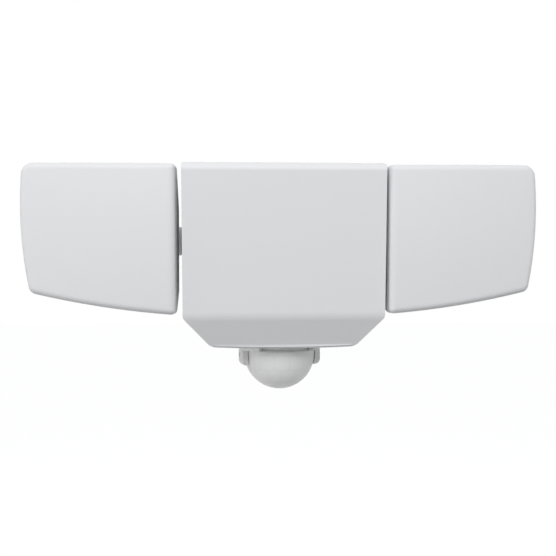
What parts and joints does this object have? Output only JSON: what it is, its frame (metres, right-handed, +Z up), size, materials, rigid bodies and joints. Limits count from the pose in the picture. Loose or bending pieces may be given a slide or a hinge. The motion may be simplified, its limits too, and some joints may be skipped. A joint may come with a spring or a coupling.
{
  "type": "motion sensor security light",
  "caption": "Wall-mounted flood light with a fixed centre panel, jointed side heads on level arms and a ball motion sensor that turns and tilts under the body.",
  "frame": {"origin": "middle of the centre body on the wall plane, where the back of the bracket and gasket rest", "axes": "+X to the viewer's right along the longest extent, +Z up, the light faces the viewer along -Y and +Y points into the wall"},
  "size_m": [0.3578, 0.0942, 0.1606],
  "materials": {
    "cover_white": "white moulded light cover, satin",
    "housing_white": "white moulded housing, fine satin grain",
    "sensor_white": "white moulded sensor parts, satin",
    "lens_white": "milky sensor lens, faint facets",
    "arm_white": "white powder coat on cast arm",
    "screw_steel": "zinc plated",
    "bracket_steel": "galvanised sheet",
    "can_steel": "plated can",
    "seal_rubber": "grey silicone",
    "gasket_foam": "black closed-cell foam",
    "grommet_rubber": "black rubber",
    "board_aluminium": "white solder mask on aluminium core",
    "board_green": "green circuit board",
    "led_yellow": "phosphor chip",
    "transformer_tape": "taped winding and core",
    "capacitor_sleeve": "shrink sleeve",
    "terminal_plastic": "pale terminal plastic",
    "pot_plastic": "blue control case",
    "dial_grey": "grey setting dial"
  },
  "bodies": {
    "root": {"mounting_bracket": "bracket_steel", "wall_gasket": "gasket_foam", "wire_grommet": "grommet_rubber", "mount_screws": "screw_steel", "rear_housing": "housing_white", "housing_seal": "seal_rubber", "center_diffuser": "cover_white", "cover_screws": "screw_steel", "center_led_board": "board_aluminium", "center_leds": "led_yellow", "center_board_screws": "screw_steel", "driver_board": "board_green", "driver_screws": "screw_steel", "driver_transformer": "transformer_tape", "driver_capacitors": "capacitor_sleeve", "terminal_block": "terminal_plastic", "control_board": "board_green", "control_pots": "pot_plastic"},
    "left_arm": {"left_arm": "arm_white", "left_arm_washer": "screw_steel", "left_arm_nut": "screw_steel"},
    "left_head": {"left_head_housing": "housing_white", "left_head_seal": "seal_rubber", "left_diffuser": "cover_white", "left_head_screws": "screw_steel", "left_led_board": "board_aluminium", "left_leds": "led_yellow", "left_board_screws": "screw_steel", "left_lead_bush": "grommet_rubber", "left_hinge_bolt": "screw_steel", "left_hinge_nut": "screw_steel"},
    "right_arm": {"right_arm": "arm_white", "right_arm_washer": "screw_steel", "right_arm_nut": "screw_steel"},
    "right_head": {"right_head_housing": "housing_white", "right_head_seal": "seal_rubber", "right_diffuser": "cover_white", "right_head_screws": "screw_steel", "right_led_board": "board_aluminium", "right_leds": "led_yellow", "right_board_screws": "screw_steel", "right_lead_bush": "grommet_rubber", "right_hinge_bolt": "screw_steel", "right_hinge_nut": "screw_steel"},
    "sensor_yoke": {"sensor_yoke": "sensor_white", "sensor_retaining_ring": "sensor_white"},
    "sensor_ball": {"sensor_carrier": "sensor_white", "sensor_lens": "lens_white", "sensor_board": "board_green", "pir_detector": "can_steel", "photocell": "led_yellow"},
    "time_dial": {"time_dial": "dial_grey"},
    "lux_dial": {"lux_dial": "dial_grey"},
    "range_dial": {"range_dial": "dial_grey"}
  },
  "joints": [
    {"name": "left_tilt", "type": "hinge", "parent": "root", "child": "left_arm", "pos_m": [-0.07, -0.034, 0.0094], "axis": [1, 0, 0], "range_deg": [-20, 45]},
    {"name": "left_yaw", "type": "hinge", "parent": "left_arm", "child": "left_head", "pos_m": [-0.118, -0.034, 0.0094], "axis": [0, 0, -1], "range_deg": [-3, 37]},
    {"name": "right_tilt", "type": "hinge", "parent": "root", "child": "right_arm", "pos_m": [0.07, -0.034, 0.0094], "axis": [1, 0, 0], "range_deg": [-20, 45]},
    {"name": "right_yaw", "type": "hinge", "parent": "right_arm", "child": "right_head", "pos_m": [0.118, -0.034, 0.0094], "axis": [0, 0, 1], "range_deg": [-0.7, 39.3]},
    {"name": "sensor_pan", "type": "hinge", "parent": "root", "child": "sensor_yoke", "pos_m": [0, -0.039, -0.073], "axis": [0, 0, 1], "range_deg": [-84, 66]},
    {"name": "sensor_tilt", "type": "hinge", "parent": "sensor_yoke", "child": "sensor_ball", "pos_m": [0, -0.039, -0.073], "axis": [0.9877, 0.1564, 0], "range_deg": [-15, 15]},
    {"name": "time_turn", "type": "hinge", "parent": "root", "child": "time_dial", "pos_m": [0.041, -0.021, -0.0645], "axis": [0, 0, 1], "range_deg": [-135, 135]},
    {"name": "lux_turn", "type": "hinge", "parent": "root", "child": "lux_dial", "pos_m": [0.041, -0.039, -0.0645], "axis": [0, 0, 1], "range_deg": [-135, 135]},
    {"name": "range_turn", "type": "hinge", "parent": "root", "child": "range_dial", "pos_m": [0.041, -0.057, -0.0645], "axis": [0, 0, 1], "range_deg": [-135, 135]}
  ]
}
